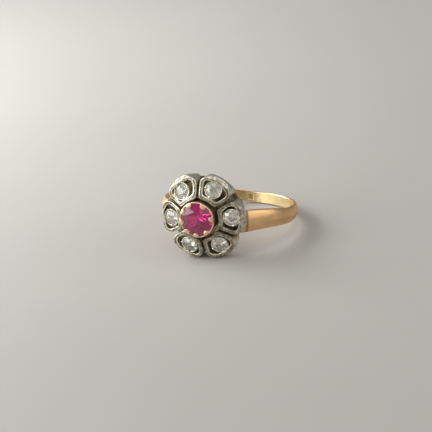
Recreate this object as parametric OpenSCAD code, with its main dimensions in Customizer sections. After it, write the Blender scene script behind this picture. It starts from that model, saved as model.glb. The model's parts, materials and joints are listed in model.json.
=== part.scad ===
// Flower cluster ring that lies on its side, in millimetres.
// It is built round a finger axis on Z with the flower facing -Y. The whole ring is then
// laid down on two lower petals and the back of the band.

/* [Band] */
// Radius of the finger hole
finger_r = 8.85; // [7.5:0.05:9]
// Radius of the band's outer round at its crest
band_r = 9.68; // [9.6:0.02:11]
// Shift of the outer round towards the flower, which makes the shoulders thicker
band_shift = 0.32; // [0:0.01:0.6]
// Share of the band's thickness that its rounded outside loses at the edges
band_crown = 0.42; // [0:0.02:0.6]
// Half of the band's width at the back
back_half = 0.83; // [0.6:0.01:1.5]
// Gain in half width from the back to the flower
shoulder_gain = 0.83; // [0:0.01:1.2]
// Rise of the worn left half for each millimetre away from the middle
left_rise = 0.085; // [0:0.005:0.15]
// Rise of the bent right shoulder
bend_rise = 0.29; // [0:0.01:0.4]
// Angle from the flower to the middle of that bend
bend_angle = 52; // [40:1:60]
// Angle from the middle of the bend to each of its ends
bend_reach = 36; // [20:1:40]
// Width of the blank hallmark recess at the back
mark_w = 0.75; // [0.4:0.05:1]
// Depth of the blank hallmark recess
mark_depth = 0.1; // [0.05:0.05:0.2]
// Shift of that recess to the right of the middle of the back
mark_aside = -0.35; // [-1:0.05:1]

/* [Gallery] */
// Radius of the gold plate under the flower
plate_r = 5.35; // [5:0.05:5.7]
// Thickness of the gold plate
plate_t = 0.4; // [0.3:0.05:0.6]
// Radius of the gallery at its foot
foot_r = 4.8; // [4.6:0.05:5.4]
// Height of the gallery from its foot to the top of the plate
gallery_h = 2.4; // [2:0.1:3]
// Thickness of the gallery's wall
gallery_wall = 0.7; // [0.5:0.05:1]

/* [Place of the flower] */
// Distance from the finger axis to the plane of the small stones
stone_h = 11.1; // [11:0.05:12]
// Height of the flower's middle over the middle of the band
head_lift = 0.95; // [0:0.05:1.2]
// Forward lean of the flower
head_lean = 5.9; // [0:0.1:8]
// Turn of the flower about its own axis
head_turn = 3; // [0:0.1:4]

/* [Petals] */
// Number of petals
petals = 6; // [6:1:6]
// Radius from the flower's middle to the tip of a petal
petal_tip = 6.27; // [6:0.01:6.5]
// Radius of the round at the tip of a petal
tip_round = 3.87; // [3.5:0.01:4.2]
// Radius of the rounder flanks of a petal
flank_round = 2.7; // [2.5:0.01:3.3]
// Width of the slot between two petals
slot_w = 0.42; // [0.3:0.02:0.6]
// Thickness of a petal's wall
petal_wall = 0.5; // [0.3:0.01:0.6]
// Thickness of a petal's wall at its tip
tip_wall = 0.66; // [0.4:0.02:0.8]
// Radius at which the petals begin
petal_start = 2.9; // [2.8:0.05:3.2]
// Slope of the petals from the middle stone down to the small stones
dome_angle = 24; // [15:1:28]
// Radius at which the petals bend down to their outer flanks
brow_r = 5.85; // [5.6:0.01:6.1]
// Height of that bend over the plane of the small stones
brow_z = 0; // [-0.3:0.02:0.2]
// Height at which the sloping outer flanks end
flank_z = -0.7; // [-1:0.02:-0.5]
// Height of the petal walls over the plane of the small stones, at those stones
wall_rise = 0.2; // [0:0.05:0.4]
// Depth of the flower's base under the plane of the small stones
base_depth = 2.1; // [1.9:0.05:2.3]
// Radius of the flower at its base
base_r = 5.75; // [5.5:0.05:6]
// Thickness of the silver plate that joins the petals
floor_t = 0.95; // [0.3:0.05:1.1]
// Radius of that plate between the petals
floor_r = 4.9; // [4.5:0.05:5.5]
// Space that the plate leaves round the foot of the crown collet
foot_room = 0.1; // [0.08:0.01:0.3]

/* [Small stones] */
// Radius of a small stone
small_r = 1.05; // [1:0.01:1.2]
// Radius of the circle on which the small stones sit
small_circle = 4.53; // [4.4:0.01:4.7]
// Turn of the small stones within their petals
small_turn = 1.5; // [0:0.1:3]
// Further turn of the third small stone, which sits aside in its petal
third_turn = 3.5; // [0:0.1:5]
// Outward lean of each small stone
small_lean = 18; // [0:1:24]
// Thickness of the small collet's wall
small_wall = 0.16; // [0.12:0.01:0.3]
// Radius of a bead
bead_r = 0.2; // [0.15:0.01:0.25]
// Number of beads on each small stone
beads = 4; // [3:1:6]

/* [Middle stone] */
// Radius of the middle stone
ruby_r = 2.3; // [2:0.05:2.4]
// Height of the middle stone's girdle over the plane of the small stones
ruby_h = 1.15; // [0.8:0.05:1.4]
// Shift of the middle stone and its collet to the right of the flower's middle
ruby_aside = -0.22; // [-0.3:0.01:0.3]
// Radius of the crown collet at its rim
collet_r = 2.55; // [2.4:0.05:2.7]
// Radius of the crown collet at its foot
collet_foot_r = 2.3; // [2:0.05:2.4]
// Height of the crown collet's rim over the girdle
rim_rise = 0.3; // [0.2:0.02:0.4]
// Radius of the round cuts between two claws
claw_cut = 0.42; // [0.2:0.02:0.45]
// Angle from a claw to the nearest cut beside it
claw_room = 20; // [14:1:24]

/* [Resting place] */
// Tilt that brings the back of the band down to the surface
rest_tilt = 11.91; // [10:0.01:14]
// Sideways roll that brings both lower petals to the surface
rest_roll = 2.98; // [0:0.01:5]
// Place of the finger axis beside the middle of the footprint
rest_aside = -0.025; // [-1:0.001:1]
// Place of the finger axis behind the middle of the footprint
rest_back = 1.685; // [1:0.001:2]
// Rise of the finger axis over the surface
rest_rise = 2.756; // [2:0.001:4]

/* [Hidden] */
$fn = 96;

// Gap between two pieces that meet
gap = 0.03;
// Reach of a cutting shape past what it cuts
over = 1;
// Space that the flower and the cup leave round the finger
finger_gap = 0.2;
// Radius and height that hold the whole ring
side = 14;
tall = 8;

petal_angle = 360 / petals;
tip_centre = petal_tip - tip_round;
flank_centre = petal_tip + 0.08 - flank_round;
// Angle of each claw about the middle stone, as they sit on the worn ring
claw_at = [4, 59, 115, 148, 188, 229, 264, 307];
// Angles below go round the finger from the flower, positive to the right
// Half of the band's width at the angle a
function half_at(a) = back_half + shoulder_gain * pow((1 + cos(a)) / 2, 2);
// Distance from the finger axis to the band's crest at the angle a
function crest_at(a) = band_shift * cos(a) + sqrt(pow(band_r, 2) - pow(band_shift * sin(a), 2));
// Rise of the bent right shoulder at the angle a
function bend_at(a) =
    let (t = abs(a - bend_angle) / bend_reach)
    t < 1 ? bend_rise * pow(cos(90 * t), 2) : 0;
// Point of the band at the angle a and the radius r, with s from -1 to 1 over its width
function band_point(a, r, s) = [
    r * sin(a), -r * cos(a), s * half_at(a) + bend_at(a) + left_rise * max(0, -r * sin(a))
];
// Proportions of a cut stone, for each millimetre of its radius
table_part = 0.56;
crown_part = 0.27;
star_part = 0.82;
star_height = 0.16;
belt_part = 0.04;
pavilion_part = 0.7;
culet_part = 0.08;

// The flower's place, with its own +Z facing out of the ring
module at_head() {
    translate([0, -stone_h, head_lift])
        rotate([90 + head_lean, 0, 0])
            rotate([0, 0, head_turn])
                children();
}

// The place of the small stone i, leaning outward
module at_small(i) {
    rotate([0, 0, i * petal_angle + small_turn + (i == 2 ? third_turn : 0)])
        translate([small_circle, 0, 0])
            rotate([0, small_lean, 0])
                children();
}

// The whole ring laid down on its side
module laid_down() {
    translate([rest_aside, rest_back, rest_rise])
        rotate([0, rest_roll, 0])
            rotate([-rest_tilt, 0, 0])
                children();
}

// The place of the middle stone's collet, on the plane of the small stones
module at_middle() {
    at_head()
        translate([ruby_aside, 0, 0])
            children();
}

// Faceted round stone with its girdle at z = 0
module cut_stone(r) {
    skin = 0.004;
    hull() {
        translate([0, 0, crown_part * r - skin])
            cylinder(r = table_part * r, h = skin, $fn = 8);
        translate([0, 0, star_height * r])
            rotate([0, 0, 22.5])
                cylinder(r = star_part * r, h = skin, $fn = 8);
        translate([0, 0, -belt_part * r])
            rotate([0, 0, 11.25])
                cylinder(r = r, h = 2 * belt_part * r, $fn = 16);
        translate([0, 0, -pavilion_part * r])
            cylinder(r = culet_part * r, h = skin, $fn = 8);
    }
}

// Round space that a stone of radius r needs, with the gap
module stone_room(r) {
    wide = r + gap;
    belt = belt_part * r + gap;
    rotate_extrude()
        polygon([
            [0, -pavilion_part * r - 2 * gap], [culet_part * r + gap, -pavilion_part * r - 2 * gap],
            [wide, -belt], [wide, belt],
            [star_part * r + gap, star_height * r + 2 * gap],
            [table_part * r + gap, crown_part * r + 2 * gap],
            [0, crown_part * r + 2 * gap]
        ]);
}

// Closed ring of sections that reach into the finger hole, with a rounded outside
module band_ring() {
    sections = 90;
    across = [-1, -0.85, -0.5, 0, 0.5, 0.85, 1];
    corners = len(across) + 2;
    function section(a) =
        let (crest = crest_at(a), crown = band_crown * (crest - finger_r))
        [
            band_point(a, finger_r - over, 1), band_point(a, finger_r - over, -1),
            for (s = across) band_point(a, crest - crown * s * s, s)
        ];
    polyhedron(
        points = [for (k = [0:sections - 1]) each section(k * 360 / sections - 180)],
        faces = [
            for (k = [0:sections - 1]) for (j = [0:corners - 1])
                let (here = k * corners, there = (k + 1) % sections * corners, next = (j + 1) % corners)
                [here + j, here + next, there + next, there + j]
        ]
    );
}

module band() {
    difference() {
        band_ring();
        at_head() {
            translate([0, 0, -base_depth - gap])
                cylinder(r = base_r + 0.3, h = tall);
            translate([0, 0, -tall])
                cylinder(r = foot_r - gallery_wall, h = tall);
        }
    }
}

// Gold cup under the flower, open under each stone
module gallery() {
    top = -base_depth - gap;
    foot = top - gallery_h;
    at_head()
        difference() {
            rotate_extrude()
                polygon([
                    [0, top], [plate_r, top], [foot_r, foot],
                    [foot_r - gallery_wall, foot],
                    [plate_r - gallery_wall, top - plate_t], [0, top - plate_t]
                ]);
            for (i = [0:petals - 1])
                rotate([0, 0, i * petal_angle])
                    translate([small_circle - 0.25, 0, top - plate_t - over])
                        cylinder(r = 0.8, h = plate_t + 2 * over);
            translate([0, 0, top - plate_t - over])
                cylinder(r = 1.3, h = plate_t + 2 * over);
        }
}

module shank() {
    color("#d9a066")
        laid_down()
            difference() {
                union() {
                    band();
                    difference() {
                        gallery();
                        cylinder(r = finger_r + finger_gap, h = 3 * tall, center = true);
                    }
                }
                cylinder(r = finger_r, h = 3 * tall, center = true);
                translate([mark_aside - mark_w / 2, finger_r - over, -mark_w / 2])
                    cube([mark_w, over + mark_depth, mark_w]);
            }
}

// Outline of a petal that points along +X, drawn in by inset
module petal_outline(inset) {
    apex = (slot_w / 2 + inset) / sin(petal_angle / 2);
    spread = (side - apex) * tan(petal_angle / 2);
    difference() {
        intersection() {
            translate([tip_centre, 0])
                circle(r = tip_round - inset);
            translate([flank_centre, 0])
                circle(r = flank_round - inset);
            polygon([[apex, 0], [side, -spread], [side, spread]]);
        }
        circle(r = petal_start + inset);
    }
}

// Room under the sloping top of the flower, narrower at the base
module dome() {
    top = wall_rise + small_circle * tan(dome_angle);
    rotate_extrude()
        polygon([
            [0, -base_depth], [base_r, -base_depth], [petal_tip + 0.05, flank_z - 0.25],
            [petal_tip + 0.05, flank_z], [brow_r, brow_z], [small_circle, wall_rise], [0, top]
        ]);
}

// One petal: a wall round its outline and the plate that closes its cell
module petal() {
    intersection() {
        translate([0, 0, -base_depth])
            difference() {
                linear_extrude(height = tall)
                    petal_outline(0);
                translate([0, 0, floor_t])
                    linear_extrude(height = tall)
                        intersection() {
                            petal_outline(petal_wall);
                            translate([tip_centre, 0])
                                circle(r = tip_round - tip_wall);
                        }
            }
        dome();
    }
}

// Small collet round one stone, with its beads
module small_collet() {
    translate([0, 0, -3])
        cylinder(r = small_r + gap + small_wall, h = 3.06);
    for (k = [0:beads - 1])
        rotate([0, 0, k * 360 / beads])
            translate([small_r + 0.06, 0, 0.1])
                sphere(r = bead_r, $fn = 24);
}

// Room for one small stone and the opening under it
module small_hole() {
    stone_room(small_r);
    translate([0, 0, -4])
        cylinder(r = 0.6 * small_r, h = 4);
}

module rosette_floor() {
    translate([0, 0, -base_depth])
        difference() {
            cylinder(r = floor_r, h = floor_t);
            translate([ruby_aside, 0, -over])
                cylinder(r = collet_foot_r + foot_room, h = floor_t + 2 * over);
        }
}

module rosette() {
    color("#b8b3a6")
        laid_down()
            difference() {
                at_head()
                    difference() {
                        union() {
                            rosette_floor();
                            for (i = [0:petals - 1])
                                rotate([0, 0, i * petal_angle])
                                    petal();
                            intersection() {
                                union()
                                    for (i = [0:petals - 1])
                                        at_small(i)
                                            small_collet();
                                translate([0, 0, -base_depth])
                                    cylinder(r = petal_tip - petal_wall / 2, h = tall);
                            }
                        }
                        for (i = [0:petals - 1])
                            at_small(i)
                                small_hole();
                    }
                cylinder(r = finger_r + finger_gap, h = 3 * tall, center = true);
            }
}

module ruby_collet() {
    foot = -base_depth;
    rim = ruby_h + rim_rise;
    color("#d99a72")
        laid_down()
            at_middle()
                difference() {
                    rotate_extrude()
                        polygon([
                            [collet_foot_r - 0.5, foot], [collet_foot_r, foot],
                            [collet_foot_r + 0.08, 0], [collet_r, ruby_h - 0.2],
                            [collet_r, ruby_h + 0.1], [collet_r - 0.15, rim],
                            [collet_r - 0.6, rim], [collet_r - 0.6, 0.2], [collet_foot_r - 0.5, -0.6]
                        ]);
                    translate([0, 0, ruby_h])
                        stone_room(ruby_r);
                    for (k = [0:len(claw_at) - 1]) {
                        next = k + 1 < len(claw_at) ? claw_at[k + 1] : claw_at[0] + 360;
                        half = min(claw_room, (next - claw_at[k]) / 2);
                        for (a = [claw_at[k] + half, next - half])
                            rotate([0, 0, a])
                                translate([0, 0, rim + 0.12])
                                    rotate([0, 90, 0])
                                        cylinder(r = claw_cut, h = side);
                    }
                }
}

module ruby() {
    color("#c2185b")
        laid_down()
            at_middle()
                translate([0, 0, ruby_h])
                    cut_stone(ruby_r);
}

module diamond(i) {
    color("#eef2f2")
        laid_down()
            at_head()
                at_small(i - 1)
                    cut_stone(small_r);
}

shank();
rosette();
ruby_collet();
ruby();
diamond(1);  // diamond_1
diamond(2);  // diamond_2
diamond(3);  // diamond_3
diamond(4);  // diamond_4
diamond(5);  // diamond_5
diamond(6);  // diamond_6
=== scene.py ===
import json
import math

import bpy
import numpy as np
from bpy.props import FloatProperty, FloatVectorProperty, IntProperty, PointerProperty
from mathutils import Matrix, Vector


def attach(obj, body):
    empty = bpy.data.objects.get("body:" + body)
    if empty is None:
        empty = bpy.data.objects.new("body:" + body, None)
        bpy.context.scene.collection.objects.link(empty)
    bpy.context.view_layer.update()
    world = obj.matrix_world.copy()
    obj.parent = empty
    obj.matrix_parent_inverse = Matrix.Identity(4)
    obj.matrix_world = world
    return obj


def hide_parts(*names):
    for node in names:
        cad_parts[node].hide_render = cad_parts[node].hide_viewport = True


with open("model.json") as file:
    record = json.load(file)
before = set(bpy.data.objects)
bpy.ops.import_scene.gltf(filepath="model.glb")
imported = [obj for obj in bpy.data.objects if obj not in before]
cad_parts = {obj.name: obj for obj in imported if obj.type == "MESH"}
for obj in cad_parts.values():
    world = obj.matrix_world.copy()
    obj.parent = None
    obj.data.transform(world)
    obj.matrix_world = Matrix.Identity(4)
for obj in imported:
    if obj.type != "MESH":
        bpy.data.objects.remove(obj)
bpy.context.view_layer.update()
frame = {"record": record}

bl_info = {
    "name": "Flower Cluster Ring",
    "version": (1, 0, 0),
    "blender": (4, 5, 0),
    "location": "View3D > Sidebar > Ring",
    "description": "A gold and silver flower ring that lies on its side",
    "category": "Add Mesh",
}

MM = 0.001

# Width and height of the picture in pixels, and the camera's sensor width in millimetres
PICTURE = 432
SENSOR = 36.0

# Angles of the claws about the middle stone, in degrees
CLAW_DEGREES = (4, 59, 115, 148, 188, 229, 264, 307)

# Number of petals, and how far a petal's heart lies from the flower's middle
PETALS = 6
HEART = 4.55 * MM

# Depth of a small collet, and the share of its stone's radius that is open below
COLLET_DEPTH = 1.6 * MM
OPEN_SHARE = 0.6

# Numbers from 0 of the small stones at the top and on the left, towards the light, which
# take a milkier, whiter copy of the white stone as painted light
LIT_STONES = (1, 2, 3)

# Range that most of a noise lies in
NOISE_RANGE = (0.3, 0.7)

# Name, place, aim, width and height, and colour of each light, and the colour of the air
LIGHTS = (
    ("key", (-0.47, -0.16, 0.21), (0, 0, 0), (0.90, 0.40), (1.0, 0.99, 0.96)),
    ("top", (0.10, -0.05, 0.60), (0, 0, 0), (0.7, 0.7), (1.0, 0.98, 0.95)),
    ("right", (0.50, 0.0, 0.32), (0, 0, 0), (0.5, 0.4), (1.0, 0.97, 0.93)),
    ("fill", (0.30, -0.50, 0.20), (0, 0, 0), (0.4, 0.3), (1.0, 0.97, 0.93)),
    ("glow", (-0.14, 0.04, 0.09), (-0.125, 0.04, 0), (0.10, 0.10), (1, 1, 1)),
)
AIR_COLOUR = (0.80, 0.79, 0.77, 1)


def number(name, description, value, **more):
    """A number that a user can change."""
    return FloatProperty(name=name, description=description, default=value, **more)


def length(name, description, millimetres, least=0.0):
    """A size that a user can change, given in millimetres and kept in metres."""
    return number(name, description, millimetres * MM, min=least, precision=6, unit="LENGTH",
                  subtype="DISTANCE")


def angle(name, description, degrees):
    """An angle that a user can change, given in degrees and kept in radians."""
    return number(name, description, math.radians(degrees), unit="ROTATION", subtype="ANGLE")


def colour(name, description, rgb):
    """A linear colour that a user can change."""
    return FloatVectorProperty(name=name, description=description, default=rgb,
                               size=3, min=0.0, max=1.0, subtype="COLOR")


class BandSizes(bpy.types.PropertyGroup):
    """Sizes of the gold band and of the cup under the flower."""
    finger_radius: length("Finger radius", "Radius of the finger hole", 8.85)
    outer_radius: length("Outer radius", "Radius of the band's outer round at its crest", 9.68)
    outer_shift: length("Outer shift", "Shift of the outer round towards the flower", 0.32)
    crown: number("Crown", "Share of the thickness lost at the edges", 0.42)
    back_half_width: length("Half width", "Half of the band's width at the back", 0.83)
    shoulder_gain: length("Shoulder gain", "Gain in half width from back to flower", 0.83)
    left_rise: number("Left rise", "Slope at which the worn left half rises", 0.085)
    bend_rise: length("Bend rise", "Rise of the bent right shoulder", 0.29)
    bend_angle: angle("Bend angle", "Angle from the flower to the middle of that bend", 52.0)
    bend_reach: angle("Bend reach", "Angle from the middle of the bend to each end", 36.0)
    edge: length("Edge", "Radius of the worn edges", 0.13)
    shoulder_end: angle("Shoulder end", "Angle at which a shoulder ends in the cup", 29.5)
    # Painted shadow: a dark strip across each shoulder near the flower
    shade_strip_angle: angle("Seam angle", "Angle from the flower to the dark seam of a shoulder", 34.6)
    shade_strip_width: length("Seam width", "Width of that seam", 0.24)
    mark_width: length("Mark width", "Width of the blank hallmark recess", 0.75)
    mark_depth: length("Mark depth", "Depth of the blank hallmark recess", 0.1)
    mark_aside: length("Mark aside", "Shift of that recess to the right", -0.35, least=-5 * MM)
    plate_radius: length("Plate radius", "Radius of the plate under the flower", 5.35)
    plate_thickness: length("Plate thickness", "Thickness of that plate", 0.4)
    foot_radius: length("Foot radius", "Radius of the cup at its foot", 4.8)
    cup_height: length("Cup height", "Height of the cup", 2.4)
    cup_wall: length("Cup wall", "Thickness of the cup's wall", 0.7)
    cup_gap: length("Cup gap", "Space that the cup leaves round the finger", 0.2)


class FlowerSizes(bpy.types.PropertyGroup):
    """Place of the flower and sizes of its petals."""
    height: length("Height", "Distance from the finger axis to the small stones", 11.1)
    lift: length("Lift", "Height of the flower over the middle of the band", 0.95)
    lean: angle("Lean", "Forward lean of the flower", 5.9)
    turn: angle("Turn", "Turn of the flower about its own axis", 3.0)
    tip: length("Tip", "Radius from the middle to the tip of a petal", 6.27)
    tip_round: length("Tip round", "Radius of the round at the tip", 3.87)
    flank_round: length("Flank round", "Radius of the rounder flanks", 2.7)
    slot: length("Slot", "Width of the slot between two petals", 0.42)
    wall: length("Wall", "Thickness of a petal's wall", 0.5)
    tip_wall: length("Tip wall", "Thickness of a petal's wall at its tip", 0.66)
    start: length("Start", "Radius at which the petals begin", 2.9)
    dome: angle("Dome", "Slope of the petals down to the small stones", 24.0)
    brow_radius: length("Brow", "Radius at which the petals bend to their outer flanks", 5.85)
    flank_drop: length("Flank drop", "Depth at which the sloping flanks end", 0.7)
    wall_rise: length("Wall rise", "Height of the walls over the small stones", 0.2)
    base_depth: length("Base depth", "Depth of the base under the small stones", 2.1)
    base_radius: length("Base radius", "Radius of the flower at its base", 5.75)
    floor_thickness: length("Floor", "Thickness of the plate that closes the petals", 0.95)
    floor_radius: length("Floor radius", "Radius of that plate between the petals", 4.9)


class StoneSizes(bpy.types.PropertyGroup):
    """Sizes of the stones and their collets."""
    small_radius: length("Small stone", "Radius of a small stone", 1.05)
    small_circle: length("Circle", "Radius of the circle of small stones", 4.53)
    small_turn: angle("Small turn", "Turn of the small stones within their petals", 1.5)
    third_turn: angle("Third turn", "Further turn of the third small stone", 3.5)
    small_lean: angle("Small lean", "Outward lean of each small stone", 18.0)
    small_wall: length("Small collet wall", "Thickness of a small collet", 0.16)
    bead: length("Bead", "Radius of a bead", 0.2)
    beads: IntProperty(name="Beads", description="Beads on each small stone", default=4, min=3)
    ruby_radius: length("Middle stone", "Radius of the middle stone", 2.3)
    ruby_height: length("Middle height", "Height of its girdle over the small stones", 1.15)
    ruby_aside: length("Middle aside", "Shift of it to the right", -0.22, least=-5 * MM)
    collet_radius: length("Collet radius", "Radius of the crown collet at its rim", 2.55)
    collet_foot: length("Collet foot", "Radius of the crown collet at its foot", 2.3)
    rim_rise: length("Rim rise", "Height of the claws over the girdle", 0.3)
    claws: FloatVectorProperty(name="Claws", description="Angle of each claw about the middle stone",
                               size=len(CLAW_DEGREES), precision=3, unit="ROTATION",
                               default=[math.radians(a) for a in CLAW_DEGREES])
    claw_half: angle("Claw half width", "Half of the angle that a claw takes on the rim", 11.0)
    foot_room: length("Foot room", "Space round the foot of the crown collet", 0.1)
    gap: length("Gap", "Gap between a stone and its seat", 0.03)


class Finishes(bpy.types.PropertyGroup):
    """Colours of the metals and stones."""
    band_outside: colour("Band outside", "Rose gold of the worn outside", (0.865, 0.55, 0.28))
    # Painted light: the inside of the band takes this lighter, yellower copy of the gold
    band_inside_lit: colour("Band inside", "Yellower gold inside the band", (1.0, 0.78, 0.42))
    collet_gold: colour("Collet gold", "Rose gold of the crown collet", (0.90, 0.60, 0.42))
    # Painted shade: the hallmark recess, the strip across each shoulder and the top of the cup take this
    # colour
    shade_gold: colour("Dull gold", "Grey brown gold of the recess and seams", (0.26, 0.17, 0.08))
    silver: colour("Silver", "Bright silver of the rims", (0.98, 0.94, 0.80))
    # Tarnish and painted shade: the dark colour of the silver and the crown collet where their mark
    # nears 1
    tarnish_and_shade: colour("Tarnish", "Darkest film on the silver and the crown collet", (0.18, 0.14, 0.075))
    grime: colour("Grime", "Grey green film on the plates in the flower", (0.52, 0.48, 0.36))
    ruby: colour("Middle stone", "Colour of the red stone", (0.80, 0.035, 0.27))
    diamond: colour("Small stones", "Colour of the white stones", (1.0, 0.98, 0.87))
    surface: colour("Surface", "Pale surface that the ring lies on", (0.45, 0.442, 0.418))


class Studio(bpy.types.PropertyGroup):
    """Camera and lights."""
    azimuth: angle("Azimuth", "Camera angle round the finger axis", 21.5)
    elevation: angle("Elevation", "Camera angle over the band's plane", 12.0)
    distance: length("Distance", "Camera distance from the finger axis", 270.0)
    scale: number("Scale", "Pixels for each millimetre at the finger axis", 7.0)
    axis_x: number("Axis across", "Pixel column of the finger axis", 231.0)
    axis_y: number("Axis down", "Pixel row of the finger axis", 208.6)
    key: number("Key", "Power of the large soft light", 3.4, unit="POWER")
    top: number("Top", "Power of the soft light overhead", 1.4, unit="POWER")
    right: number("Right", "Power of the soft light on the right", 0.9, unit="POWER")
    fill: number("Fill", "Power of the fill light", 0.25, unit="POWER")
    glow: number("Glow", "Power of the glow behind on the left", 0.24, unit="POWER")
    air: number("Air", "Strength of the even light from all round", 0.24)


class RingSettings(bpy.types.PropertyGroup):
    """All settings of the ring."""
    band: PointerProperty(type=BandSizes)
    flower: PointerProperty(type=FlowerSizes)
    stones: PointerProperty(type=StoneSizes)
    finishes: PointerProperty(type=Finishes)
    studio: PointerProperty(type=Studio)


def settings():
    """The ring's settings in the open scene."""
    return bpy.context.scene.flower_ring


# Places

def turn_x(a):
    """Turn by the angle a about X."""
    return np.array([[1, 0, 0], [0, math.cos(a), -math.sin(a)], [0, math.sin(a), math.cos(a)]])


def turn_y(a):
    """Turn by the angle a about Y."""
    return np.array([[math.cos(a), 0, math.sin(a)], [0, 1, 0], [-math.sin(a), 0, math.cos(a)]])


def turn_z(a):
    """Turn by the angle a about Z."""
    return np.array([[math.cos(a), -math.sin(a), 0], [math.sin(a), math.cos(a), 0], [0, 0, 1]])


def finger_place():
    """Turn and place of the finger axis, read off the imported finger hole.

    The axis (x, y, z) is upright Z tilted back about X by asin(y), then rolled about Y."""
    hole = next(m for m in frame["record"]["mounts"] if m["name"] == "finger_hole")
    x, y, z = hole["axis"]
    return turn_y(math.atan2(x, z)) @ turn_x(-math.asin(y)), np.array(hole["pos_m"])


FINGER_TURN, FINGER_PLACE = finger_place()


def from_band(points):
    """Points round the finger axis, in the frame of the whole ring."""
    return points @ FINGER_TURN.T + FINGER_PLACE


def from_flower(points):
    """Points of the flower, whose +Z faces out of the ring, in the frame of the whole ring."""
    flower = settings().flower
    turn = turn_x(math.pi / 2 + flower.lean) @ turn_z(flower.turn)
    return from_band(points @ turn.T + np.array([0, -flower.height, flower.lift]))


def from_small(points, i):
    """Points of the small stone i, leaning outward on its petal."""
    stones = settings().stones
    leaning = points @ turn_y(stones.small_lean).T + np.array([stones.small_circle, 0, 0])
    at = i * 2 * math.pi / PETALS + stones.small_turn
    return from_flower(leaning @ turn_z(at + (stones.third_turn if i == 2 else 0.0)).T)


def from_middle(points):
    """Points round the middle stone's axis, on the plane of the small stones."""
    return from_flower(points + np.array([settings().stones.ruby_aside, 0, 0]))


# Surfaces

class Surface:
    """Grids of points gathered into one mesh, with a mark at each point where one is given."""

    def __init__(self):
        self.points, self.corners, self.sizes, self.marks, self.uvs = [], [], [], {}, []
        self.count = 0

    def add(self, grid, capped=False, uv=None, **marks):
        """Adds a grid of points whose rows are loops. Its last row joins its first, or where it
        is capped, a face closes each of the two. The faces are turned round if the volume
        that they enclose comes out negative."""
        rows, columns = grid.shape[:2]
        ids = np.arange(rows * columns).reshape(rows, columns)
        around = ids if capped else np.vstack([ids, ids[:1]])
        around = np.hstack([around, around[:, :1]])
        quads = np.stack([around[:-1, :-1], around[1:, :-1], around[1:, 1:], around[:-1, 1:]], -1)
        faces = [quads.reshape(-1, 4)]
        if capped:
            faces += [ids[0][None, :], ids[-1][None, ::-1]]
        flat = grid.reshape(-1, 3)
        a, b, c, d = (flat[faces[0][:, k]] - flat.mean(0) for k in range(4))
        volume = np.einsum("ij,ij->", a, np.cross(b, c)) + np.einsum("ij,ij->", a, np.cross(c, d))
        if volume <= 0:
            faces = [face[:, ::-1] for face in faces]
        for name in sorted(set(self.marks) | set(marks)):
            values = np.broadcast_to(marks.get(name, 0.0), grid.shape[:2]).ravel()
            self.marks.setdefault(name, [np.zeros(self.count)]).append(values)
        self.add_faces(flat, faces, uv)

    def add_faces(self, points, faces, uv=None):
        """Adds points and arrays of faces, with a row of point numbers for each face."""
        for face in faces:
            self.corners.append((face + self.count).ravel())
            self.sizes.append(np.full(len(face), face.shape[1]))
        self.points.append(points)
        self.uvs.append(np.zeros((len(points), 2)) if uv is None else uv.reshape(-1, 2))
        self.count += len(points)

    def build(self, name, smooth=True):
        """The gathered grids as one object."""
        mesh = bpy.data.meshes.new(name)
        corners, sizes = np.concatenate(self.corners), np.concatenate(self.sizes)
        points, uvs = np.concatenate(self.points), np.concatenate(self.uvs)
        mesh.vertices.add(len(points))
        mesh.loops.add(len(corners))
        mesh.polygons.add(len(sizes))
        mesh.vertices.foreach_set("co", points.astype(np.float32).ravel())
        mesh.loops.foreach_set("vertex_index", corners.astype(np.int32))
        mesh.polygons.foreach_set("loop_start", (np.cumsum(sizes) - sizes).astype(np.int32))
        mesh.polygons.foreach_set("use_smooth", np.full(len(sizes), smooth))
        for mark, values in self.marks.items():
            attribute = mesh.attributes.new(mark, "FLOAT", "POINT")
            attribute.data.foreach_set("value", np.concatenate(values).astype(np.float32))
        layer = mesh.uv_layers.new(name="UVMap")
        layer.data.foreach_set("uv", uvs[corners].astype(np.float32).ravel())
        mesh.update(calc_edges=True)
        mesh.validate()
        return new_object(name, mesh)


def new_object(name, data):
    """A new object in the scene that shows data."""
    item = bpy.data.objects.new(name, data)
    bpy.context.scene.collection.objects.link(item)
    return item


def smooth_step(low, high, x):
    """Zero below low, one above high, and 3 t squared less 2 t cubed between them."""
    t = np.clip((x - low) / (high - low), 0, 1)
    return t * t * (3 - 2 * t)


def wave(x, y, seed):
    """Smooth hand-made unevenness, mostly between -1 and 1: a third of the sum of six
    products of a sine along x and a cosine along y, of mixed lengths."""
    rng = np.random.default_rng(seed)
    total = np.zeros(np.broadcast(x, y).shape)
    for _ in range(6):
        fx, fy = rng.uniform(0.6, 3.2, 2)
        px, py = rng.uniform(0, 2 * math.pi, 2)
        total = total + np.sin(fx * x + px) * np.cos(fy * y + py)
    return total / 3.0


def full_turn(steps):
    """Angles that share a full turn evenly, from 0."""
    return np.linspace(0, 2 * math.pi, steps, endpoint=False)


def round_z(radius, turn, height):
    """Points at an angle round the Z axis: radius times its cosine and sine, and height."""
    return np.stack(np.broadcast_arrays(radius * np.cos(turn), radius * np.sin(turn), height), -1)


def revolve(profile, steps):
    """A profile of (radius, height) rows carried round the Z axis."""
    radius, height = np.asarray(profile, float).T
    return round_z(radius, full_turn(steps)[:, None], height)


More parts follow.
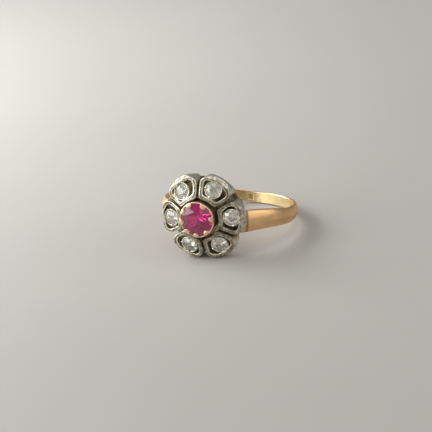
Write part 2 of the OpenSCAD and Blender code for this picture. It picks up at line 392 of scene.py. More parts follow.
def rounded(points, radius, steps=5):
    """A closed run of (x, y) corners with each corner turned to a small curve.

    The curve is quadratic, between points on both sides of the corner. Each is a radius
    from it, or 0.45 of the way to the next corner where that is nearer."""
    points = np.asarray(points, float)

    def toward(other):
        """Start or end of each curve, on the side from its corner to another."""
        side = other - points
        far = np.linalg.norm(side, axis=1)[:, None]
        return (points + side / far * np.minimum(radius, 0.45 * far))[:, None]

    start, end = toward(np.roll(points, 1, 0)), toward(np.roll(points, -1, 0))
    t = np.linspace(0, 1, steps)[None, :, None]
    curve = (1 - t) ** 2 * start + 2 * t * (1 - t) * points[:, None] + t ** 2 * end
    return curve.reshape(-1, 2)


def dress(piece, material, slot, *nodes):
    """Gives a piece its material and its body, and hides the imported solids that it stands for."""
    piece.data.materials.append(material)
    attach(piece, "root")
    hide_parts(*nodes)


# Materials

class Look:
    """A material with one shader, and short ways to add the nodes that feed it."""

    def __init__(self, name):
        self.material = bpy.data.materials.new(name)
        self.material.use_nodes = True
        self.tree = self.material.node_tree
        self.shader = next(n for n in self.tree.nodes if n.type == "BSDF_PRINCIPLED")
        self.place = self.add("ShaderNodeTexCoord").outputs["Object"]

    def give(self, node, inputs):
        """Gives each input of a node its value, or links it to the socket that feeds it."""
        for key, value in inputs.items():
            if isinstance(value, bpy.types.NodeSocket):
                self.tree.links.new(value, node.inputs[key])
            else:
                node.inputs[key].default_value = value

    def feed(self, **inputs):
        """Gives the shader its inputs, named with _ for a space."""
        self.give(self.shader, {key.replace("_", " "): value for key, value in inputs.items()})

    def add(self, kind, inputs=(), **values):
        """Adds a node with these inputs and settings."""
        node = self.tree.nodes.new(kind)
        for key, value in values.items():
            setattr(node, key, value)
        self.give(node, dict(inputs))
        return node

    def mark(self, name):
        """The mark that the surface carries at each point."""
        return self.add("ShaderNodeAttribute", attribute_name=name).outputs["Fac"]

    def noise(self, scale, detail, vector=None, roughness=0.5):
        """Cloudy unevenness over the piece, or over the vector given."""
        return self.add("ShaderNodeTexNoise", {
            "Vector": self.place if vector is None else vector, "Scale": scale, "Detail": detail,
            "Roughness": roughness}).outputs["Fac"]

    def spread(self, value, low, high, start=0.0, end=1.0):
        """A value between start and end carried over to between low and high."""
        return self.add("ShaderNodeMapRange", {"Value": value, "From Min": start, "From Max": end,
                                               "To Min": low, "To Max": high}).outputs[0]

    def work_out(self, operation, *values, **more):
        """The result of a sum or product of values."""
        return self.add("ShaderNodeMath", dict(enumerate(values)), operation=operation,
                        **more).outputs[0]

    def mix(self, factor, first, second):
        """A colour between first and second, each a colour or a socket."""
        first, second = (c if isinstance(c, bpy.types.NodeSocket) else (*c, 1.0)
                         for c in (first, second))
        return self.add("ShaderNodeMix", {0: factor, 6: first, 7: second},
                        data_type="RGBA").outputs[2]

    def shade(self, tint, amount):
        """A colour times an amount."""
        return self.add("ShaderNodeVectorMath", {0: tint, "Scale": amount},
                        operation="SCALE").outputs[0]

    def relief(self, height, distance, strength):
        """A normal for fine relief."""
        return self.add("ShaderNodeBump", {"Height": height, "Distance": distance,
                                           "Strength": strength}).outputs[0]


def worn_gold(name, outside, inside, dull, scratch_depth):
    """Satin gold with fine scratches along the band.

    It is smoother where the mark inside is 1, and takes a lighter colour there as painted
    light. It is dull where its mark of painted shade and tarnish is 1."""
    gold = Look(name)
    inner, deep = gold.mark("inside"), gold.mark("deep")
    uv = gold.add("ShaderNodeUVMap", uv_map="UVMap").outputs["UV"]
    along = gold.add("ShaderNodeMapping", {"Vector": uv, "Scale": (260.0, 9000.0, 1.0)}).outputs[0]
    brushed = gold.noise(1.0, 3.0, along)
    cloud = gold.spread(gold.noise(420.0, 4.0), 0.86, 1.08, *NOISE_RANGE)
    base = gold.mix(deep, gold.mix(inner, outside, inside), dull)
    satin = gold.spread(brushed, 0.34, 0.48, *NOISE_RANGE)
    polished = gold.work_out("ADD", satin, gold.work_out("MULTIPLY", inner, -0.18))
    gold.feed(Base_Color=gold.shade(base, cloud), Metallic=gold.spread(deep, 1.0, 0.5),
              Roughness=gold.work_out("MULTIPLY_ADD", deep, 0.25, polished),
              Normal=gold.relief(brushed, scratch_depth, 0.35))
    return gold.material


def old_silver(name, bright, dark):
    """Silver that is bright where its mark of tarnish and painted light and shade is low, as on
    its rims, and dark where it nears 1.

    A fine noise makes the film spotty."""
    silver = Look(name)
    spots = silver.noise(2200.0, 4.0, roughness=0.6)
    film = silver.work_out("ADD", silver.mark("deep"), silver.spread(spots, -0.4, 0.4, 0.32, 0.68),
                           use_clamp=True)
    silver.feed(Base_Color=silver.mix(film, bright, dark), Metallic=silver.spread(film, 1.0, 0.7),
                Roughness=silver.spread(film, 0.25, 0.60),
                Normal=silver.relief(spots, 0.00006, 0.7))
    return silver.material


def cut_gem(name, tint, ior, cloudiness, clearness):
    """Cut stone with faint clouds inside. It is milky where clearness is below 1."""
    gem = Look(name)
    cloud = gem.spread(gem.noise(900.0, 3.0), 1.0 - cloudiness, 1.0, *NOISE_RANGE)
    gem.feed(Base_Color=gem.shade(tuple(tint), cloud), Transmission_Weight=clearness, IOR=ior,
             Roughness=0.0)
    return gem.material


def pale_surface(name, tint):
    """Matt pale surface with a very faint grain."""
    pale = Look(name)
    grain = pale.spread(pale.noise(35.0, 5.0), 0.97, 1.0, *NOISE_RANGE)
    pale.feed(Base_Color=pale.shade(tuple(tint), grain), Roughness=0.55, Specular_IOR_Level=0.3)
    return pale.material


# Band and cup

def band_surface(band, flower):
    """The band as a rounded section carried round the finger.

    The angle is 0 at the flower and half a turn at the back. Inside lies on the finger hole.
    The crest of the rounded outside lies on a round that is shifted towards the flower, and
    the outside falls from it with the square of the share of the way to an edge. The half
    width grows with the square of half of 1 plus the angle's cosine. The left half rises
    evenly, and the right shoulder rises by a squared cosine about its bend. A blank square
    recess is sunk in the inside at the back and darkened with painted shade, and a strip of
    painted shadow crosses each shoulder near the flower."""
    steps = 520
    around = np.linspace(band.shoulder_end, 2 * math.pi - band.shoulder_end, steps)[:, None]
    quarter = np.linspace(0, math.pi / 2, 7)
    flat_out, flat_side, flat_in = (np.linspace(-1, 1, n)[1:-1] for n in (25, 9, 45))

    def corner(side, up, start):
        """A rounded corner, a quarter turn from the angle start."""
        return side, np.cos(start + quarter), up, np.sin(start + quarter)

    # Each run of the section: place across, share of the edge's radius, place up, and share
    runs = [corner(1.0, 1.0, 0.0), (-flat_out, 0.0, 1.0, 1.0),
            corner(-1.0, 1.0, math.pi / 2), (-1.0, -1.0, (1 - flat_side) / 2, 0.0),
            corner(-1.0, 0.0, math.pi), (flat_in, 0.0, 0.0, -1.0),
            corner(1.0, 0.0, 3 * math.pi / 2), (1.0, 1.0, (1 + flat_side) / 2, 0.0)]
    side, side_round, up, up_round = (
        np.concatenate(part) for part in zip(*(np.broadcast_arrays(*run) for run in runs)))

    toward = np.cos(around)
    inner, edge = band.finger_radius, band.edge
    crest = band.outer_shift * toward + np.sqrt(
        band.outer_radius ** 2 - (band.outer_shift * np.sin(around)) ** 2)
    half = band.back_half_width + band.shoulder_gain * ((1 + toward) / 2) ** 2
    reach = side * (half - edge) + side_round * edge
    outer = crest - band.crown * (crest - inner) * (reach / half) ** 2
    cup_room, least = 0.06 * MM, 0.05
    under_flower = (flower.height - flower.base_depth - cup_room) / np.maximum(toward, least)
    outer = np.minimum(outer, under_flower)
    radius = inner + edge + up * (outer - inner - 2 * edge) + up_round * edge
    on_outside = smooth_step(0.6, 1.0, up_round) * up
    on_inside = smooth_step(0.6, 1.0, -up_round) * (1 - up)
    radius = radius + on_outside * 0.012 * MM * wave(around * 9, side * 2, 3)
    arc = (around - math.pi) * inner
    soft = 0.02 * MM
    low, high = band.mark_width / 2 - soft, band.mark_width / 2 + soft
    inside_mark = ((1 - smooth_step(low, high, abs(arc + band.mark_aside)))
                   * (1 - smooth_step(low, high, abs(reach))))
    sunk = radius + on_inside * inside_mark * band.mark_depth
    x, y = sunk * np.sin(around), -sunk * toward
    bend = np.cos(math.pi / 2 * np.minimum(1, abs(around - band.bend_angle) / band.bend_reach)) ** 2
    rise = band.left_rise * np.maximum(0.0, -x) + band.bend_rise * bend
    grid = np.stack(np.broadcast_arrays(x, y, reach + rise), -1)
    round_section = np.linspace(0, 8 * MM, grid.shape[1])
    uv = np.stack(np.broadcast_arrays(arc, round_section[None, :]), -1)
    inside = np.broadcast_to(on_inside, grid.shape[:2])
    # A strip of painted shadow across each shoulder near the flower, and painted shade in the hallmark
    # recess
    from_shade_strip = abs(math.pi - abs(around - math.pi) - band.shade_strip_angle) * band.outer_radius
    shade_strip = up * (1 - smooth_step(0.5 * band.shade_strip_width, band.shade_strip_width, from_shade_strip))
    return from_band(grid), uv, inside, np.maximum(inside * inside_mark, shade_strip)


def cut_away(piece, cutters):
    """Takes closed cutters out of a piece and removes them."""
    for cutter in cutters:
        modifier = piece.modifiers.new("cut", "BOOLEAN")
        modifier.operation = "DIFFERENCE"
        modifier.solver = "EXACT"
        modifier.object = cutter
        shaped = bpy.data.meshes.new_from_object(
            piece.evaluated_get(bpy.context.evaluated_depsgraph_get()))
        piece.modifiers.clear()
        piece.data = shaped
        bpy.data.objects.remove(cutter)


def tube(points_of, radius, low, high, steps):
    """A closed round bar between two heights, put in place by points_of."""
    bar = Surface()
    grid = revolve([(radius, low), (radius, high)], steps).transpose(1, 0, 2)
    bar.add(points_of(grid), capped=True)
    return bar.build("cutter")


# Petals

def petal_reach(turn, inset, tip_inset, flower):
    """Distance from a petal's heart to its outline in each direction turn.

    The outline is the nearest of five bounds: the round at the tip, the rounder flanks, the
    two slots and the ring round the middle. The last three are blended with the nearer of
    the first two, as the sum of their powers of -9 to the power of -1/9, which rounds the
    corners. The round at the tip is drawn in by tip_inset and the other bounds by inset."""
    dx, dy = np.cos(turn), np.sin(turn)
    far, tiny, blend = 1.0, 1e-6, 9.0

    def to_circle(centre, radius):
        """Distance along the ray from inside a round to its edge."""
        along = (HEART - centre) * dx
        return -along + np.sqrt(np.maximum(along ** 2 - (HEART - centre) ** 2 + radius ** 2, 0))

    def to_slot(sign):
        """Distance along the ray to the straight edge of a slot."""
        half = math.pi / PETALS
        speed = -math.sin(half) * dx + sign * math.cos(half) * dy
        room = HEART * math.sin(half) - flower.slot / 2 - inset
        return np.where(speed > tiny, room / np.maximum(speed, tiny), far)

    def to_middle():
        """Distance along the ray to the round about the flower's middle, from outside it."""
        radius = flower.start + inset
        along = HEART * dx
        inner = along ** 2 - HEART ** 2 + radius ** 2
        hit = -along - np.sqrt(np.maximum(inner, 0))
        return np.where((inner > 0) & (hit > 0), hit, far)

    tip = to_circle(flower.tip - flower.tip_round, flower.tip_round - tip_inset)
    flank = to_circle(flower.tip + 0.08 * MM - flower.flank_round, flower.flank_round - inset)
    bounds = np.stack([np.minimum(tip, flank), to_slot(1), to_slot(-1), to_middle()])
    return np.sum((bounds / MM) ** -blend, axis=0) ** (-1 / blend) * MM


def top_height(radius, flower, stones):
    """Height of the flower's top at a distance from its middle.

    It falls along one slope to the small stones and a gentler one to the brow, which is level
    with them. The steep outer flank is joined on by a soft minimum of a and b, which is
    -k log(exp(-a / k) + exp(-b / k))."""
    past = radius - stones.small_circle
    fall = flower.wall_rise / (flower.brow_radius - stones.small_circle)
    top = flower.wall_rise - past * np.where(past < 0, math.tan(flower.dome), fall)
    flank = -(radius - flower.brow_radius) * (flower.flank_drop / (flower.tip - flower.brow_radius))
    soft = 0.03 * MM
    return -soft * np.logaddexp(-top / soft, -flank / soft)


def petal_wall(i, flower, stones):
    """One petal's wall: a section carried round the petal's outline.

    On each ray from the petal's heart the section runs up the outline, over the flower's
    top and down the inside of the cell, with both top edges rounded. Under the flank the
    outside is drawn in to the base along a straight line.

    The mark of tarnish and painted light and shade is near 1 along the middle of the top,
    and lower beside the cell and the slot through wear and painted highlight, most on the
    upper left, towards the light, and least on the right, in painted shade. The outer flank
    is lighter, apart from the upper left, and darker on the right in painted shade. A side
    darkens with the power 0.6 of its depth, less so in the cell and on the rim, as tarnish
    and painted shade. It is lighter on the left, towards the light, and darker on the right:
    painted light and shade."""
    steps = 320
    turn = full_turn(steps)
    uneven = 1 + 0.12 * wave(turn * 2.5, i * 1.3, 40 + i)
    outline = petal_reach(turn, 0.0, 0.0, flower)
    cell = petal_reach(turn, flower.wall * uneven, flower.tip_wall * uneven, flower)
    turn, outline, cell = turn[:, None], outline[:, None], cell[:, None]
    edge, wide = 0.09 * MM, outline - cell
    quarter, flat = np.linspace(0, math.pi / 2, 5), np.zeros(7)
    inward, downward = edge * (1 - np.cos(quarter)), edge * (1 - np.sin(quarter))
    over = edge + (wide - 2 * edge) * np.linspace(0, 1, len(flat) + 2)[1:-1]
    ones = np.ones((steps, 1))
    shift = np.hstack([ones * flat, ones * inward, over, wide - downward, wide + flat])
    drop = np.concatenate([flat, downward, flat, inward, flat])
    top_row = np.zeros(len(flat) + 2 * len(quarter))
    down = np.concatenate([np.linspace(1, 0.08, len(flat)), top_row,
                           np.linspace(0.08, 1, len(flat))])
    on_top = np.concatenate([flat, top_row + 1, flat]) > 0
    reach = outline - shift
    x, y = HEART + reach * np.cos(turn), reach * np.sin(turn)
    radius = np.hypot(x, y)
    top = top_height(radius, flower, stones) + 0.03 * MM * wave(turn * 2, i, 20 + i)
    ledge, under_edge = top - drop, edge * ~on_top
    z = ledge - down * (ledge - under_edge + flower.base_depth) - under_edge
    low = -flower.flank_drop - 0.25 * MM
    share = np.clip((z + flower.base_depth) / (low + flower.base_depth), 0, 1)
    limit = flower.base_radius + (flower.tip + 0.05 * MM - flower.base_radius) * share
    drawn = np.minimum(1, limit / radius)
    grid = np.stack([x * drawn, y * drawn, z], -1) @ turn_z(i * 2 * math.pi / PETALS).T

    across, along = grid[..., 0], grid[..., 1]
    by_cell = 1 - smooth_step(0.06 * MM, 0.22 * MM, wide - shift)
    by_slot = 1 - smooth_step(0.04 * MM, 0.18 * MM, shift)
    # Share towards the lower right, away from the light on the upper left, which gets painted shade
    away_from_light = smooth_step(-4 * MM, 4 * MM, across - 0.5 * along)
    dark_flank, spread = math.radians(125), math.radians(30)
    upper_left = np.exp(-((np.arctan2(along, across) - dark_flank) / spread) ** 2)
    on_flank = smooth_step(flower.brow_radius - 0.1 * MM, flower.brow_radius + 0.1 * MM, radius)
    spoiled = 0.2 * wave(turn * 3, i, 70 + i)
    # Wear and painted highlight beside the cell and the slot, less on the lower right
    worn = by_cell * (1.2 - 0.75 * away_from_light + spoiled) + by_slot * (0.8 - 0.6 * away_from_light - spoiled)
    worn = worn * (1 - 0.7 * away_from_light * (1 - smooth_step(3.2 * MM, 3.8 * MM, radius)))
    # Top: tarnish and painted shade, lowered by wear and painted highlight; flank darker on the right
    crest = (0.92 - on_flank * (0.57 - 0.42 * upper_left - 0.28 * away_from_light)
             - 1.1 * np.clip(worn, 0, 1) * (1 - 0.85 * on_flank))
    outside = (shift < edge / 2) * smooth_step(5.0 * MM, 5.7 * MM, radius)
    # Sides darken with depth as tarnish and painted shade, and are lighter where lit from the left
    depth = np.clip((top - z) / MM, 0, 1) ** 0.6
    lit = (1 - away_from_light) * np.maximum(outside, shift > wide / 2)
    side = 0.35 - 0.25 * lit + (0.5 + 0.2 * away_from_light - 0.2 * lit) * depth * (1 - 0.8 * outside)
    surface = Surface()
    surface.add(from_flower(grid), deep=np.where(on_top, crest, side))
    return surface.build(f"petal_{i + 1}")


def small_collet(i, stones):
    """A small round collet, turned from a profile, with beads pushed over the stone's edge.

    The profile runs up the outside, over the waved rim, down to the stone's seat and along a
    slope to the hole below. A bead is a slightly flattened ball near its share of the turn."""
    seat = stones.small_radius + stones.gap
    outer = seat + stones.small_wall
    hole = OPEN_SHARE * stones.small_radius
    run = [(outer, -COLLET_DEPTH), (outer, 0.06 * MM), (seat, 0.06 * MM), (seat, -0.1 * MM),
           (hole, -0.62 * MM), (hole, -COLLET_DEPTH)]
    steps = 72
    grid = revolve(rounded(run, 0.09 * MM), steps)
    around = full_turn(steps)[:, None]
    near_top = smooth_step(-0.2 * MM, 0.05 * MM, grid[..., 2])
    grid[..., 2] += near_top * 0.03 * MM * wave(around * 2, i, 60 + i)
    # Darker towards the bottom and inside the seat, under the stone
    deep = 1 - smooth_step(-0.75 * MM, 0.0, grid[..., 2])
    deep = np.where(np.hypot(grid[..., 0], grid[..., 1]) < seat - 0.02 * MM, 1.0, deep)
    surface = Surface()
    surface.add(from_small(grid, i), deep=0.9 * deep)
    rng = np.random.default_rng(80 + i)
    v, u = np.meshgrid(np.linspace(0.03, math.pi - 0.03, 12), full_turn(16))
    out, up = stones.small_radius + 0.05 * MM, 0.11 * MM
    for k in range(stones.beads):
        at = 2 * math.pi * k / stones.beads + rng.uniform(-0.2, 0.2)
        size = stones.bead * rng.uniform(0.85, 1.12)
        ball = np.stack([size * 0.95 * np.sin(v) * np.cos(u), size * 0.9 * np.sin(v) * np.sin(u),
                         size * 0.85 * np.cos(v)], -1)
        ball = ball @ turn_z(at).T + round_z(out, at, up)
        surface.add(from_small(ball.transpose(1, 0, 2), i), capped=True, deep=0.0)
    return surface.build(f"small_collet_{i + 1}")


def flower_floor(flower, stones):
    """The plate behind the flower with a plate in each cell, opened under each small stone.

    A cell's plate ends 0.6 of the way through the petal's wall, and inside the base."""
    low, high = -flower.base_depth, -flower.base_depth + flower.floor_thickness
    hole = stones.collet_foot + stones.foot_room
    run = [(hole, low), (hole, high), (flower.floor_radius, high), (flower.floor_radius, low)]
    grid = revolve(rounded(run, 0.05 * MM, 3), 120)
    round_hole = np.arange(grid.shape[1]) < grid.shape[1] // 2
    grid[..., 0] += stones.ruby_aside * round_hole
    plate = Surface()
    plate.add(from_flower(grid), deep=0.4)
    pieces = [plate.build("flower_floor", smooth=False)]
    turn = full_turn(96)
    inset, within = flower.wall * 0.6, flower.base_radius - 0.1 * MM
    reach = petal_reach(turn, inset, inset, flower)
    outline = np.stack([HEART + reach * np.cos(turn), reach * np.sin(turn)], -1)
    x, y = (outline * np.minimum(1, within / np.linalg.norm(outline, axis=1))[:, None]).T

    # A cell's plate lies a little above the plate behind, so that no two faces coincide
    levels = np.array([low + 0.01 * MM, high + 0.02 * MM])[:, None]
    grid = np.stack(np.broadcast_arrays(x, y, levels), -1)
    for i in range(PETALS):
        at = i * 2 * math.pi / PETALS
        cell = Surface()
        # Cells on the right take more of the dark film: painted shade, away from the light on the left
        cell.add(from_flower(grid @ turn_z(at).T), capped=True,
                 deep=0.4 + 0.4 * max(0.0, math.cos(at)))
        pieces.append(cell.build(f"cell_floor_{i + 1}", smooth=False))
    for k, piece in enumerate(pieces):
        opened = range(PETALS) if k == 0 else [k - 1]
        cut_away(piece, [tube(lambda p, i=i: from_small(p, i), OPEN_SHARE * stones.small_radius,
                              -4 * MM, 0.0, 40) for i in opened])
    return pieces


# Crown collet and stones

def crown_collet(flower, stones):
    """A thin turned cup whose rim is folded over the middle stone at each claw.

    Between two claws the rim stands just over the stone's edge. The claw share is 1 at the
    angle of a claw, falls as a cosine on both sides of it, and moves each rim point between
    its low and its folded place. A mark of tarnish and painted shade dulls its side and,
    less, its inside towards the bottom."""
    steps = 480
    around = full_turn(steps)[:, None]
    offset = (around - np.array(stones.claws) + math.pi) % (2 * math.pi) - math.pi
    nearest = np.min(abs(offset), axis=1, keepdims=True)
    swing = np.cos(np.minimum(math.pi, math.pi / 2 * nearest / stones.claw_half))
    claw = smooth_step(-0.15, 0.35, swing)
    tip = np.sqrt(np.clip((swing - 0.05) / 0.95, 0, 1))
    foot, foot_radius = -flower.base_depth, stones.collet_foot
    girdle = stones.ruby_height
    seat = stones.ruby_radius + stones.gap
    outer = stones.collet_radius
    rim = stones.rim_rise * (0.85 + 0.12 * wave(around * 2, 1.0, 6))
    low_rim = girdle + 0.05 * MM

    # Radius and height of each row, up the outside, over the rim and down the inside
    outside_rows = 6
    rows = [
        (foot_radius, foot), (foot_radius + 0.04 * MM, foot / 2), (foot_radius + 0.08 * MM, 0.0),
        (outer - 0.03 * MM, girdle - 0.3 * MM),
        (outer, girdle - 0.1 * MM),
        (outer - 0.01 * MM, low_rim - 0.03 * MM + 0.1 * MM * claw),
        (outer - 0.05 * MM - 0.03 * MM * claw, low_rim + 0.02 * MM + 0.7 * rim * claw),
        (outer - 0.10 * MM - 0.12 * MM * claw, low_rim + 0.03 * MM + rim * claw),
        (seat + 0.06 * MM - 0.16 * MM * claw - 0.12 * MM * tip, low_rim + 0.03 * MM + 1.1 * rim * claw),
        (seat + 0.03 * MM - 0.18 * MM * claw - 0.32 * MM * tip, low_rim + 0.01 * MM + 1.05 * rim * claw),
        (seat + 0.01 * MM - 0.18 * MM * claw - 0.36 * MM * tip, low_rim - 0.04 * MM + 0.8 * rim * claw),
        (seat, girdle - 0.02 * MM + 0.12 * MM * claw),
        (seat, girdle - 0.15 * MM),
        (seat - 0.55 * MM, girdle - 0.95 * MM),
        (foot_radius - 0.5 * MM, -0.6 * MM), (foot_radius - 0.5 * MM, foot),
    ]
    radius, height = (np.hstack([np.broadcast_to(value, claw.shape) for value in column])
                      for column in zip(*rows))
    grid = round_z(radius, around, height)
    # Tarnish and painted shade on the side below the rim; the inside darkens towards the bottom
    outside = 0.85 - 0.85 * smooth_step(girdle - 0.2 * MM, low_rim - 0.03 * MM, height)
    within = 0.5 - 0.5 * smooth_step(0.3 * MM, 1.1 * MM, height)
    deep = 0.9 * np.where(np.arange(len(rows)) < outside_rows, outside, within)
    surface = Surface()
    surface.add(from_middle(grid), inside=0.0, deep=deep)
    return surface.build("crown_collet")


def cut_stone(radius, table=0.56, crown=0.27, star=0.80, belt=0.04, pavilion=0.70, culet=0.10,
              lower=0.45, turn=0.0):
    """Points and facets of a round stone with its girdle at height 0.

    Eight kites fall from the corners of an eight-sided table to the girdle, eight stars lie
    between them, and sixteen small facets meet the girdle above and below. The height of a
    point on a kite is that of the plane through the kite's two ends."""
    eighth = turn + np.arange(8) * math.pi / 4
    between = eighth + math.pi / 8
    sixteenth = turn + np.arange(16) * math.pi / 8
    star_along = star * math.cos(math.pi / 8)
    star_height = belt + (crown - belt) * (1 - star_along) / (1 - table)
    lower_along = lower * math.cos(math.pi / 8)
    lower_height = -belt - (pavilion - belt) * (1 - lower_along) / (1 - culet)
    points = np.vstack([
        round_z(table, eighth, crown), round_z(star, between, star_height),
        round_z(1, sixteenth, belt), round_z(1, sixteenth, -belt),
        round_z(lower, between, lower_height), round_z(culet, eighth, -pavilion),
    ])
    k = np.arange(8)
    after, before = (k + 1) % 8, (k - 1) % 8
    top, stars, upper, under, low, tip = k, 8 + k, 16 + 2 * k, 32 + 2 * k, 48 + k, 56 + k
    next_upper, next_under = 16 + (2 * k + 2) % 16, 32 + (2 * k + 2) % 16
    j = np.arange(16)
    sides = [
        (top, stars, after), (top, 8 + before, upper, stars), (stars, upper, upper + 1),
        (stars, upper + 1, next_upper), (16 + j, 32 + j, 32 + (j + 1) % 16, 16 + (j + 1) % 16),
        (low, under + 1, under), (low, next_under, under + 1), (tip, low, under, 48 + before),
        (tip, 56 + after, low),
    ]
    return points * radius, [top[None, :], *(np.stack(side, -1) for side in sides), tip[None, ::-1]]


def stone_piece(name, place, radius, **shape):
    """One faceted stone, put in place by place."""
    points, facets = cut_stone(radius, **shape)
    surface = Surface()
    surface.add_faces(place(points), facets)
    return surface.build(name, smooth=False)


# Operators

class RING_OT_band(bpy.types.Operator):
    """Make the gold band with its shoulders and blank hallmark recess"""
    bl_idname = "ring.band"
    bl_label = "Band"

    def execute(self, context):
        ring = settings()
        grid, uv, inside, deep = band_surface(ring.band, ring.flower)
        surface = Surface()
        surface.add(grid, capped=True, uv=uv, inside=inside, deep=0.8 * deep)
        gold = worn_gold("band_gold", ring.finishes.band_outside, ring.finishes.band_inside_lit,
                         ring.finishes.shade_gold, 0.00002)
        dress(surface.build("band"), gold, "rose_gold", "shank")
        return {"FINISHED"}


class RING_OT_cup(bpy.types.Operator):
    """Make the gold cup under the flower"""
    bl_idname = "ring.cup"
    bl_label = "Cup"

    def execute(self, context):
        ring = settings()
        band, flower, stones = ring.band, ring.flower, ring.stones
        top = -flower.base_depth - stones.gap
        foot, plate = top - band.cup_height, top - band.plate_thickness
        wall, bore = band.cup_wall, 1.3 * MM
        run = [(band.plate_radius, top), (band.foot_radius, foot), (band.foot_radius - wall, foot),
               (band.plate_radius - wall, plate), (bore, plate), (bore, top)]
        surface = Surface()
        grid = revolve(rounded(run, 0.07 * MM), 180)
        # The top of the cup, in the hollow under the petals, is dulled with painted shade
        surface.add(from_flower(grid), inside=0.0,
                    deep=smooth_step(top - 0.5 * MM, top - 0.1 * MM, grid[..., 2]))
        cup = surface.build("gallery_cup")

        # One cutter for the finger and one under each small stone
        finger_end, hole, inset = 9 * MM, 0.8 * MM, 0.25 * MM
        cutters = [tube(from_band, band.finger_radius + band.cup_gap, -finger_end, finger_end, 240)]
        for i in range(PETALS):
            middle = round_z(stones.small_circle - inset, i * 2 * math.pi / PETALS, 0.0)
            cutters.append(tube(lambda p, m=middle: from_flower(p + m), hole,
                                top - 1.4 * MM, top + MM, 40))
        cut_away(cup, cutters)
        gold = worn_gold("cup_gold", ring.finishes.band_outside, ring.finishes.band_inside_lit,
                         ring.finishes.shade_gold, 0.00001)
        dress(cup, gold, "rose_gold", "shank")
        return {"FINISHED"}


class RING_OT_flower(bpy.types.Operator):
    """Make the silver petals, their floor and the small collets"""
    bl_idname = "ring.flower"
    bl_label = "Flower"

    def execute(self, context):
        ring = settings()
        flower, stones = ring.flower, ring.stones
        silver = old_silver("old_silver", ring.finishes.silver, ring.finishes.tarnish_and_shade)
        recess = old_silver("dark_silver", ring.finishes.grime, ring.finishes.tarnish_and_shade)
        for piece in flower_floor(flower, stones):
            dress(piece, recess, "silver", "rosette")
        for i in range(PETALS):
            dress(petal_wall(i, flower, stones), silver, "silver", "rosette")
            dress(small_collet(i, stones), silver, "silver", "rosette")
        return {"FINISHED"}


class RING_OT_crown(bpy.types.Operator):
    """Make the rose gold crown collet"""
    bl_idname = "ring.crown"
    bl_label = "Crown collet"

    def execute(self, context):
        ring = settings()
        gold = worn_gold("collet_gold", ring.finishes.collet_gold, ring.finishes.collet_gold,
                         ring.finishes.tarnish_and_shade, 0.00001)
        dress(crown_collet(ring.flower, ring.stones), gold, "collet_gold", "ruby_collet")
        return {"FINISHED"}


class RING_OT_stones(bpy.types.Operator):
    """Make the red middle stone and the white small stones"""
    bl_idname = "ring.stones"
    bl_label = "Stones"

    def execute(self, context):
        ring = settings()
        stones = ring.stones
        red = cut_gem("red_stone", ring.finishes.ruby, ior=1.76, cloudiness=0.1, clearness=0.88)
        clear = cut_gem("white_stone", ring.finishes.diamond, ior=2.2, cloudiness=0.08, clearness=0.92)
        # The small stones towards the light take this milkier, whiter copy as painted light
        milky = cut_gem("milky_stone", ring.finishes.diamond, ior=2.2, cloudiness=0.08, clearness=0.76)
        lift = np.array([0, 0, stones.ruby_height])
        ruby = stone_piece("middle_stone", lambda p: from_middle(p + lift), stones.ruby_radius)
        dress(ruby, red, "ruby", "ruby")
        for i in range(PETALS):
            stone = stone_piece(f"white_stone_{i + 1}", lambda p: from_small(p, i),
                                stones.small_radius, table=0.46, crown=0.32, turn=0.3 * i)
            dress(stone, milky if i in LIT_STONES else clear, "diamond", f"diamond_{i + 1}")
        return {"FINISHED"}


def soft_light(name, place, aim, size, power, tint):
    """A large square lamp at place, turned to face aim."""
    lamp = bpy.data.lights.new(name, "AREA")
    lamp.shape = "RECTANGLE"
    lamp.size, lamp.size_y = size
    lamp.energy = power
    lamp.color = tint
    holder = new_object(name, lamp)
    holder.location = place
    holder.rotation_mode = "QUATERNION"
    holder.rotation_quaternion = Vector(np.subtract(aim, place)).to_track_quat("-Z", "Y")


def place_camera(studio):
    """The camera, which shows the finger axis at the pixel and the scale given.

    Its axes are right, up and back, turned with the ring, and it stands its distance back
    along the last. Its focal length in pixels is the scale times the distance."""
    a, e = studio.azimuth, studio.elevation
    back = np.array([math.sin(a) * math.cos(e), -math.cos(a) * math.cos(e), math.sin(e)])
    right = np.array([math.cos(a), math.sin(a), 0.0])
    axes = FINGER_TURN @ np.stack([right, np.cross(back, right), back], -1)
    lens = bpy.data.cameras.new("camera")
    lens.sensor_width = SENSOR
    lens.lens = studio.scale / MM * studio.distance / PICTURE * SENSOR
    lens.shift_x = (PICTURE / 2 - studio.axis_x) / PICTURE
    lens.shift_y = (studio.axis_y - PICTURE / 2) / PICTURE
    lens.clip_start, lens.clip_end = 0.01, 20.0
    camera = new_object("camera", lens)
    matrix = np.eye(4)
    matrix[:3, :3] = axes
    matrix[:3, 3] = FINGER_PLACE + axes[:, 2] * studio.distance
    camera.matrix_world = Matrix(matrix.tolist())
    bpy.context.scene.camera = camera


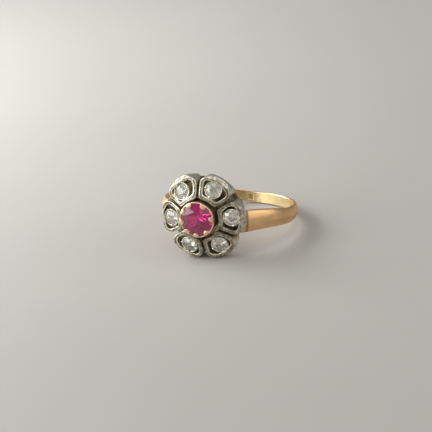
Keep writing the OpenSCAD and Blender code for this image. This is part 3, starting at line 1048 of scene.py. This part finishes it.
class RING_OT_stage(bpy.types.Operator):
    """Make the pale surface, the lights and the camera"""
    bl_idname = "ring.stage"
    bl_label = "Stage"

    def execute(self, context):
        ring = settings()
        half_side, cells = 2.5, 40
        span = np.linspace(-half_side, half_side, cells + 1)
        x, y = np.meshgrid(span, span)
        first = (np.arange(cells)[:, None] * (cells + 1) + np.arange(cells)).ravel()
        floor = Surface()
        floor.add_faces(np.stack([x, y, 0 * x], -1).reshape(-1, 3),
                        [np.stack([first, first + 1, first + cells + 2, first + cells + 1], -1)])
        surface = floor.build("pale_surface")
        surface.data.materials.append(pale_surface("pale_surface", ring.finishes.surface))

        place_camera(ring.studio)
        for name, place, aim, size, tint in LIGHTS:
            soft_light(name, place, aim, size, getattr(ring.studio, name), tint)
        world = bpy.data.worlds.new("studio_air")
        world.use_nodes = True
        air = world.node_tree.nodes["Background"]
        air.inputs["Color"].default_value = AIR_COLOUR
        air.inputs["Strength"].default_value = ring.studio.air
        context.scene.world = world
        context.scene.view_settings.view_transform = "Standard"
        return {"FINISHED"}


class RING_PT_panel(bpy.types.Panel):
    """Buttons that make each part of the ring"""
    bl_label = "Flower ring"
    bl_idname = "RING_PT_panel"
    bl_space_type = "VIEW_3D"
    bl_region_type = "UI"
    bl_category = "Ring"

    def draw(self, context):
        for operator in OPERATORS:
            self.layout.operator(operator.bl_idname)


OPERATORS = (RING_OT_stage, RING_OT_band, RING_OT_cup, RING_OT_flower, RING_OT_crown,
             RING_OT_stones)
CLASSES = (BandSizes, FlowerSizes, StoneSizes, Finishes, Studio, RingSettings,
           *OPERATORS, RING_PT_panel)


def register():
    """Adds the classes to Blender and the settings to its scenes."""
    for item in CLASSES:
        bpy.utils.register_class(item)
    bpy.types.Scene.flower_ring = PointerProperty(type=RingSettings)


def unregister():
    """Takes the settings and the classes out again."""
    del bpy.types.Scene.flower_ring
    for item in reversed(CLASSES):
        bpy.utils.unregister_class(item)


def main():
    """Makes the stage and the ring."""
    register()
    bpy.ops.ring.stage()
    bpy.ops.ring.band()
    bpy.ops.ring.cup()
    bpy.ops.ring.flower()
    bpy.ops.ring.crown()
    bpy.ops.ring.stones()


if __name__ == "__main__":
    main()
